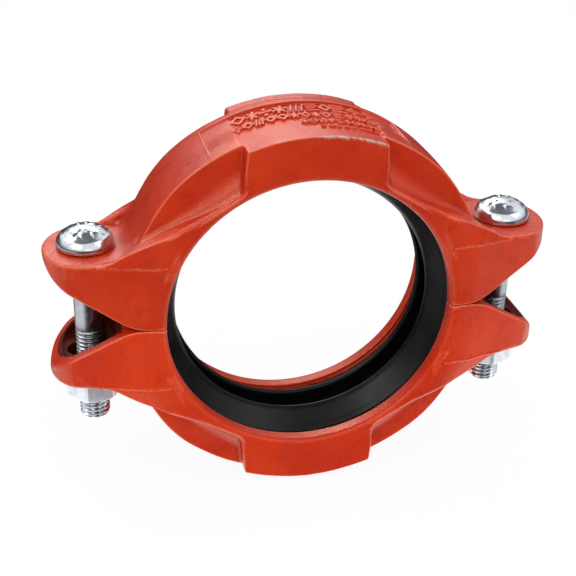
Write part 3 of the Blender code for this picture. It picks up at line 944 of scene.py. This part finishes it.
def paint_material(name, seed, tone=1.0):
    n = Nodes(name)
    tc = n.add("ShaderNodeTexCoord")
    mp = n.add("ShaderNodeMapping")
    mp.inputs["Location"].default_value = (seed, seed * 0.37, -seed * 0.71)
    n.link(tc.outputs["Object"], mp.inputs["Vector"])
    v = mp.outputs["Vector"]

    def attribute(key):
        return n.add("ShaderNodeAttribute", attribute_name=key).outputs["Fac"]

    edge, hollow, pocket_shade = attribute("edge"), attribute("hollow"), attribute("pocket_shade")
    shaded_land, worn = attribute("shaded_land"), attribute("worn")
    broad = n.noise(v, 30, 3, 0.5)
    mid = n.noise(v, 170, 4, 0.6)
    speck = n.noise(v, 700, 3, 0.65)
    k = tone
    glint = (0.86 * k, 0.24 * k, 0.15 * k, 1.0)
    deep = (0.525 * k, 0.0180 * k, 0.0004, 1.0)
    light = (0.625 * k, 0.0310 * k, 0.0010, 1.0)
    dark = (0.360 * k, 0.0120 * k, 0.0012, 1.0)
    pale_wear_and_highlight = (0.780 * k, 0.1150 * k, 0.045, 1.0)
    col = n.mix(n.span(broad, 0.35, 0.68), deep, light)
    col = n.mix(n.math("MULTIPLY", n.span(mid, 0.50, 0.74), 0.45), col, dark)
    # painted shade: darker in the concave hollows and fillets
    col = n.mix(n.math("MULTIPLY", hollow, 0.45), col, dark)
    # paint worn thin along the outer edges, paler there partly from wear and partly as painted highlight; the sharpest
    # edges also get a painted highlight
    worn_edge_and_highlight = n.math("MULTIPLY", n.span(edge, 0.42, 1.0), n.span(n.noise(v, 900, 4, 0.6), 0.25, 0.60))
    col = n.mix(n.math("MULTIPLY", worn_edge_and_highlight, 0.42), col, pale_wear_and_highlight)
    col = n.mix(n.math("MULTIPLY", n.span(edge, 0.80, 1.0), 0.25), col, glint)
    # pale dust specks, and bare grey metal where the block's edge was knocked
    col = n.mix(n.math("MULTIPLY", n.span(speck, 0.71, 0.80), 0.30), col, (0.75, 0.30, 0.20, 1.0))
    bare = n.math("MULTIPLY", worn, n.span(n.noise(v, 420, 4, 0.7), 0.44, 0.54))
    col = n.mix(bare, col, (0.42, 0.36, 0.31, 1.0))
    # painted shade: near black in the pockets under the ears and on the inner channel faces
    col = n.mix(n.math("MULTIPLY", pocket_shade, 0.90), col, (0.030, 0.004, 0.002, 1.0))
    # painted shade: one key's land made near black
    col = n.mix(n.math("MULTIPLY", shaded_land, 0.97), col, (0.008, 0.007, 0.007, 1.0))
    n.link(col, n.bsdf.inputs["Base Color"])

    rough = n.span(n.noise(v, 80, 4, 0.6), 0.3, 0.7, 0.25, 0.37)
    rough = n.math("ADD", rough, n.math("MULTIPLY", pocket_shade, 0.35))
    n.link(rough, n.bsdf.inputs["Roughness"])
    gloss = n.math("SUBTRACT", 0.375, n.math("MULTIPLY", pocket_shade, 0.31))
    n.link(gloss, n.bsdf.inputs["Specular IOR Level"])
    n.bsdf.inputs["Specular Tint"].default_value = (1.0, 0.86, 0.62, 1.0)

    cast = n.noise(v, 520, 4, 0.6)
    grit = n.noise(v, 1700, 2, 0.5)
    # the foot of the block and the scoops keep more of the sand's texture
    nrm = n.bump(mid, 0.22, 0.00040)
    nrm = n.bump(cast, 0.55, 0.00024, nrm)
    nrm = n.bump(grit, 0.65, 0.00018, nrm)
    n.link(nrm, n.bsdf.inputs["Normal"])
    return n.mat


def zinc_material(name, seed, dark=0.0, relief=0.16, shank=False, metal=1.0):
    n = Nodes(name)
    tc = n.add("ShaderNodeTexCoord")
    mp = n.add("ShaderNodeMapping")
    mp.inputs["Location"].default_value = (seed, -seed, seed * 0.5)
    n.link(tc.outputs["Object"], mp.inputs["Vector"])
    v = mp.outputs["Vector"]
    cloud = n.noise(v, 240, 4, 0.6)
    k = 1.0 - dark
    col = n.mix(n.span(cloud, 0.3, 0.7), (0.60 * k, 0.64 * k, 0.71 * k, 1.0), (0.80 * k, 0.83 * k, 0.88 * k, 1.0))
    stain = n.span(n.noise(v, 90, 3, 0.6), 0.60, 0.74)
    col = n.mix(n.math("MULTIPLY", stain, 0.30), col, (0.34, 0.36, 0.42, 1.0))
    rough = n.span(n.noise(v, 420, 4, 0.6), 0.3, 0.7, 0.11, 0.22)
    if shank:
        below = n.add("ShaderNodeAttribute", attribute_name="shank").outputs["Fac"]
        # painted shade: darker where the shank attribute marks it
        col = n.mix(n.math("MULTIPLY", below, 0.72), col, (0.13, 0.125, 0.135, 1.0))
        rough = n.math("ADD", rough, n.math("MULTIPLY", below, 0.20))
    n.link(col, n.bsdf.inputs["Base Color"])
    n.bsdf.inputs["Metallic"].default_value = metal
    n.link(rough, n.bsdf.inputs["Roughness"])
    nrm = n.bump(n.noise(v, 520, 3, 0.55), relief, 0.00016)
    n.link(nrm, n.bsdf.inputs["Normal"])
    return n.mat


def rubber_material(name):
    n = Nodes(name)
    tc = n.add("ShaderNodeTexCoord")
    v = tc.outputs["Object"]
    col = n.mix(n.span(n.noise(v, 120, 4, 0.6), 0.3, 0.7), (0.0045, 0.0045, 0.005, 1.0), (0.0085, 0.0085, 0.009, 1.0))
    dust = n.math("MULTIPLY", n.span(n.noise(v, 900, 3, 0.7), 0.64, 0.80), 0.18)
    col = n.mix(dust, col, (0.04, 0.04, 0.04, 1.0))
    n.link(col, n.bsdf.inputs["Base Color"])
    n.link(n.span(n.noise(v, 60, 4, 0.6), 0.3, 0.7, 0.26, 0.38), n.bsdf.inputs["Roughness"])
    n.bsdf.inputs["Specular IOR Level"].default_value = 0.13
    nrm = n.bump(n.noise(v, 1100, 3, 0.6), 0.10, 0.00006)
    n.link(nrm, n.bsdf.inputs["Normal"])
    return n.mat


def give(ob, mat):
    ob.data.materials.clear()
    ob.data.materials.append(mat)


# ---------------------------------------------------------------- build
base_mesh, base_object = base_casting()
upper = build_housing("upper_casting", "upper_housing", base_mesh, 0.0, False)
lower = build_housing("lower_casting", "lower_housing", base_mesh, 2.4, True)
bpy.data.objects.remove(base_object)
bpy.data.meshes.remove(base_mesh)
ring_ob = build_gasket()
bolts = [build_bolt("track_bolt_left", "bolt_left", -1, -1.3), build_bolt("track_bolt_right", "bolt_right", 1, -1.9)]
nuts = [build_nut("hex_nut_left", "nut_left", -1, -15.5), build_nut("hex_nut_right", "nut_right", 1, -4.7)]

# the upper casting gets a lower paint tone than the lower one: painted shade
give(upper, paint_material("enamel_upper", 0.0, 0.80))
give(lower, paint_material("enamel_lower", 0.31, 0.92))
give(ring_ob, rubber_material("moulded_rubber"))
for i, ob in enumerate(bolts):
    give(ob, zinc_material("zinc_bolt_%d" % i, 0.11 * i, dark=0.22, shank=True))
for i, ob in enumerate(nuts):
    give(ob, zinc_material("zinc_nut_%d" % i, 0.31 + 0.11 * i, relief=0.10, metal=0.45))

# ---------------------------------------------------------------- floor, light, camera
FLOOR_Z = CAD_BOX[0].z - 0.0004


def disc(name, radius, z, base, glow):
    bm = bmesh.new()
    bmesh.ops.create_circle(bm, cap_ends=True, segments=128, radius=radius)
    me = bpy.data.meshes.new(name)
    bm.to_mesh(me)
    bm.free()
    ob = bpy.data.objects.new(name, me)
    ob.location = (0, 0, z)
    bpy.context.scene.collection.objects.link(ob)
    mat = bpy.data.materials.new(name)
    mat.use_nodes = True
    b = mat.node_tree.nodes["Principled BSDF"]
    b.inputs["Base Color"].default_value = (base, base, base, 1)
    b.inputs["Roughness"].default_value = 1.0
    b.inputs["Specular IOR Level"].default_value = 0.0
    b.inputs["Emission Color"].default_value = (1, 1, 1, 1)
    b.inputs["Emission Strength"].default_value = glow
    me.materials.append(mat)
    return ob


# white paper lit from below, so it takes next to no shadow
paper = disc("floor", 8.0, FLOOR_Z, 0.06, 0.93)
paper.visible_glossy = False
paper.visible_diffuse = True


def backdrop(name, radius, height, z):
    """Pale wall around the floor, seen by the camera only, so that low views end in white."""
    bm = bmesh.new()
    steps = 96
    rings = [[bm.verts.new((radius * math.cos(2 * math.pi * i / steps), radius * math.sin(2 * math.pi * i / steps), h))
              for i in range(steps)] for h in (0.0, height)]
    for i in range(steps):
        j = (i + 1) % steps
        bm.faces.new((rings[0][j], rings[0][i], rings[1][i], rings[1][j]))
    me = bpy.data.meshes.new(name)
    bm.to_mesh(me)
    bm.free()
    ob = bpy.data.objects.new(name, me)
    ob.location = (0, 0, z)
    bpy.context.scene.collection.objects.link(ob)
    mat = bpy.data.materials.new(name)
    mat.use_nodes = True
    b = mat.node_tree.nodes["Principled BSDF"]
    b.inputs["Base Color"].default_value = (0, 0, 0, 1)
    b.inputs["Roughness"].default_value = 1.0
    b.inputs["Specular IOR Level"].default_value = 0.0
    b.inputs["Emission Color"].default_value = (1, 1, 1, 1)
    b.inputs["Emission Strength"].default_value = 0.99
    me.materials.append(mat)
    ob.visible_glossy = False
    ob.visible_diffuse = False
    ob.visible_transmission = False
    ob.visible_shadow = False
    return ob


backdrop("wall", 7.9, 6.0, FLOOR_Z - 0.01)


def build_world():
    world = bpy.data.worlds.new("studio")
    bpy.context.scene.world = world
    world.use_nodes = True
    t = world.node_tree
    t.nodes.clear()
    out = t.nodes.new("ShaderNodeOutputWorld")
    bg = t.nodes.new("ShaderNodeBackground")
    tc = t.nodes.new("ShaderNodeTexCoord")
    direction = tc.outputs["Generated"]

    def dot(axis):
        d = Vector(axis).normalized()
        n = t.nodes.new("ShaderNodeVectorMath")
        n.operation = "DOT_PRODUCT"
        n.inputs[1].default_value = d
        t.links.new(direction, n.inputs[0])
        return n.outputs["Value"]

    def fade(value, low, high, to=1.0):
        m = t.nodes.new("ShaderNodeMapRange")
        m.interpolation_type = "SMOOTHSTEP"
        m.inputs["From Min"].default_value = low
        m.inputs["From Max"].default_value = high
        m.inputs["To Max"].default_value = to
        t.links.new(value, m.inputs["Value"])
        return m.outputs["Result"]

    def join(op, a, b):
        m = t.nodes.new("ShaderNodeMath")
        m.operation = op
        for i, v in enumerate((a, b)):
            if isinstance(v, float):
                m.inputs[i].default_value = v
            else:
                t.links.new(v, m.inputs[i])
        return m.outputs[0]

    def spot(axis, inner, outer, level):
        return fade(dot(axis), math.cos(math.radians(outer)), math.cos(math.radians(inner)), level)

    up, back, side = dot((0, 0, 1)), dot((0, 1, 0)), dot((1, 0, 0))
    down = join("MULTIPLY", up, -1.0)
    # soft tent overhead, darker low down at the back
    low_back = join("MULTIPLY", fade(back, 0.10, 0.80), join("SUBTRACT", 1.0, fade(up, 0.08, 0.44)))
    tent = join("MULTIPLY", fade(up, -0.05, 0.42, 1.22), join("SUBTRACT", 1.0, join("MULTIPLY", low_back, 0.80)))
    # white table: bright straight below, dimmer further out, dark straight in front
    table = join("ADD", fade(down, 0.40, 0.85, 2.1),
                 join("MULTIPLY", fade(down, 0.0, 0.30, 0.90), fade(join("MULTIPLY", side, side), 0.14, 0.60)))
    gap = join("SUBTRACT", 1.0, spot((0.08, -0.88, -0.46), 20, 44, 1.0))
    ceiling = join("SUBTRACT", 1.0, spot((0.02, 0.10, 0.99), 23, 36, 0.86))
    total = join("ADD", join("MULTIPLY", tent, ceiling), join("MULTIPLY", table, gap))
    total = join("ADD", total, 0.05)
    t.links.new(total, bg.inputs["Strength"])
    bg.inputs["Color"].default_value = (1, 1, 1, 1)
    t.links.new(bg.outputs[0], out.inputs["Surface"])


build_world()


def softbox(name, direction, far, size, level, glossy=True, diffuse=True, size_y=None):
    """Rectangular light facing the part from that direction, of that radiance."""
    light = bpy.data.lights.new(name, "AREA")
    light.shape = "RECTANGLE"
    light.size, light.size_y = size, size_y or size
    light.energy = level * math.pi * light.size * light.size_y
    ob = bpy.data.objects.new(name, light)
    d = Vector(direction).normalized()
    ob.location = d * far
    ob.rotation_euler = (-d).to_track_quat("-Z", "Y").to_euler()
    bpy.context.scene.collection.objects.link(ob)
    ob.visible_glossy = glossy
    ob.visible_diffuse = diffuse
    ob.visible_camera = False
    return ob


softbox("front_fill", (-0.05, -0.90, 0.50), 0.9, 0.6, 1.2, glossy=False)
softbox("sky_fill", (-0.10, -0.15, 0.98), 1.2, 1.2, 1.3, glossy=False)
softbox("high_left", (-0.60, 0.22, 0.77), 1.2, 0.45, 13.0, diffuse=False, size_y=0.36)
softbox("high_back", (-0.05, 0.77, 0.64), 1.2, 0.85, 5.5, diffuse=False, size_y=0.44)
softbox("window_left", (-0.55, -0.55, 0.62), 1.2, 0.56, 6.0, diffuse=False, size_y=0.36)
softbox("window_right", (0.64, -0.30, 0.70), 1.2, 0.45, 3.5, diffuse=False, size_y=0.45)
softbox("low_strip", (0.10, -0.93, 0.33), 1.2, 0.60, 1.4, diffuse=False, size_y=0.16)


def build_camera():
    cam_data = bpy.data.cameras.new("camera")
    cam = bpy.data.objects.new("camera", cam_data)
    bpy.context.scene.collection.objects.link(cam)
    az, el, roll = -0.229, 0.474, 0.027
    c = Vector((-96.642, -395.246, 209.381)) * MM
    fw = Vector((-math.sin(az) * math.cos(el), math.cos(az) * math.cos(el), -math.sin(el)))
    r = fw.cross(Vector((0, 0, 1))).normalized()
    u = r.cross(fw)
    r2 = r * math.cos(roll) + u * math.sin(roll)
    u2 = -r * math.sin(roll) + u * math.cos(roll)
    m = Matrix((
        (r2.x, u2.x, -fw.x, c.x),
        (r2.y, u2.y, -fw.y, c.y),
        (r2.z, u2.z, -fw.z, c.z),
        (0, 0, 0, 1)))
    cam.matrix_world = m
    cam_data.sensor_width = 36.0
    cam_data.lens = 1151.61 / 576 * 36.0
    cam_data.clip_start, cam_data.clip_end = 0.01, 50.0
    bpy.context.scene.camera = cam


build_camera()
bpy.context.scene.view_settings.view_transform = "Standard"
bpy.context.scene.view_settings.look = "None"

bpy.context.view_layer.update()
